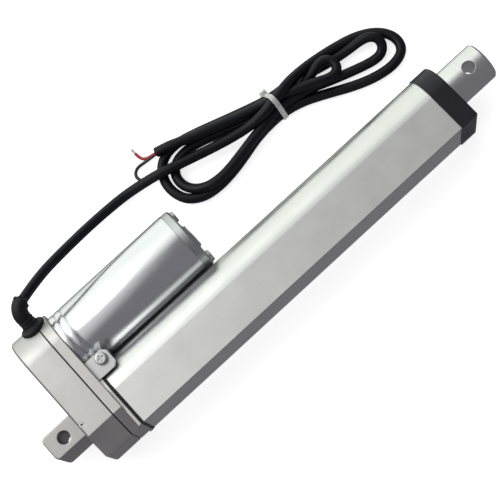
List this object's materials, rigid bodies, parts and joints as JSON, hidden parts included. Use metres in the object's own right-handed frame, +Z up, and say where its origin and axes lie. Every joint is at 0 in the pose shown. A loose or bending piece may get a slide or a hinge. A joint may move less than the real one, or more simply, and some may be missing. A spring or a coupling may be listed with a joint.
{
  "type": "electric linear actuator",
  "caption": "Electric linear actuator with its motor lying beside a D-section tube, a gearbox at the back, a rod with a pivot hole, a rear pivot tang and a tied cable.",
  "frame": {"origin": "centre of the rear pivot hole, on the rod's axis", "axes": "+X along the rod towards its tip, +Z up along both pivot holes, motor at +Y; it lies with the gearbox and motor on the surface below"},
  "size_m": [0.2738, 0.1113, 0.0386],
  "materials": {
    "housing_paint": "satin",
    "clevis_metal": "satin",
    "anodised_tube": "satin",
    "rod_steel": "satin",
    "black_plastic": "satin",
    "motor_shell": "gloss",
    "bell_plastic": "satin",
    "black_rubber": "matte",
    "cable_jacket": "satin",
    "hardware_steel": "satin",
    "cast_aluminium": "satin",
    "white_nylon": "satin",
    "bronze": "satin",
    "magnet_ferrite": "matte",
    "armature_steel": "satin",
    "copper_wire": "gloss",
    "carbon": "matte",
    "circuit_board": "satin",
    "tie_clear": "gloss",
    "red_wire": "satin",
    "black_wire": "satin",
    "tinned_wire": "satin"
  },
  "bodies": {
    "root": {"rear_housing": "housing_paint", "housing_gasket": "black_rubber", "flange_plate": "housing_paint", "housing_screws": "hardware_steel", "rear_clevis": "clevis_metal", "clevis_pin": "hardware_steel", "idler_axle": "hardware_steel", "outer_tube": "anodised_tube", "tube_gasket": "black_rubber", "tube_screws": "hardware_steel", "front_cap": "black_plastic", "cap_screws": "hardware_steel", "rod_guide_bush": "white_nylon", "rod_seal_ring": "black_rubber", "rod_wiper": "black_rubber", "switch_strip": "circuit_board", "limit_switches": "black_plastic", "diodes": "black_plastic", "motor_can": "motor_shell", "motor_end_bell": "bell_plastic", "motor_front_bush": "bronze", "motor_rear_bush": "bronze", "motor_magnets": "magnet_ferrite", "brush_plate": "black_plastic", "brushes": "carbon", "brush_springs": "hardware_steel", "motor_screws": "hardware_steel", "clamp_lug": "cast_aluminium", "clamp_screw": "hardware_steel", "bearing_outer_race": "hardware_steel", "bearing_retainer": "hardware_steel", "cable_boot": "black_rubber", "cable": "cable_jacket", "cable_hank": "cable_jacket", "cable_tie": "tie_clear", "core_red": "red_wire", "core_black": "black_wire", "core_tips": "tinned_wire"},
    "rotor": {"motor_shaft": "hardware_steel", "armature_core": "armature_steel", "armature_windings": "copper_wire", "commutator": "bronze", "motor_pinion": "bronze"},
    "idler": {"idler_gear": "white_nylon"},
    "screw": {"lead_screw": "hardware_steel", "screw_gear": "white_nylon", "gear_key": "hardware_steel", "gear_circlip": "hardware_steel", "bearing_inner_race": "hardware_steel", "bearing_balls": "hardware_steel", "screw_tip_guide": "white_nylon"},
    "rod": {"drive_nut": "white_nylon", "nut_pins": "hardware_steel", "rod_tube": "rod_steel", "rod_eye_plug": "rod_steel"},
    "rear_switch": {"rear_switch_plunger": "black_plastic"},
    "front_switch": {"front_switch_plunger": "black_plastic"}
  },
  "joints": [
    {"name": "motor_spin", "type": "hinge", "parent": "root", "child": "rotor", "pos_m": [0.06, 0.0324, 0], "axis": [-1, 0, 0], "range_deg": [-5, 111385]},
    {"name": "idler_spin", "type": "hinge", "parent": "root", "child": "idler", "pos_m": [0.016, 0.01567, 0.00156], "axis": [-1, 0, 0], "range_deg": [-37126, 1]},
    {"name": "screw_spin", "type": "hinge", "parent": "root", "child": "screw", "pos_m": [0.03, 0, 0], "axis": [-1, 0, 0], "range_deg": [-1, 13501]},
    {"name": "rod_slide", "type": "slide", "parent": "root", "child": "rod", "axis": [1, 0, 0], "range_m": [0, 0.15]},
    {"name": "rear_switch_press", "type": "slide", "parent": "root", "child": "rear_switch", "axis": [0, -1, 0], "range_m": [0, 0.0009], "stiffness_N_per_m": 150},
    {"name": "front_switch_press", "type": "slide", "parent": "root", "child": "front_switch", "axis": [0, -1, 0], "range_m": [0, 0.0009], "stiffness_N_per_m": 150}
  ],
  "couplings": [
    {"joint": "screw_spin", "follows": "rod_slide", "rad_per_m": 1570.8},
    {"joint": "idler_spin", "follows": "rod_slide", "rad_per_m": -4319.7},
    {"joint": "motor_spin", "follows": "rod_slide", "rad_per_m": 12959}
  ]
}
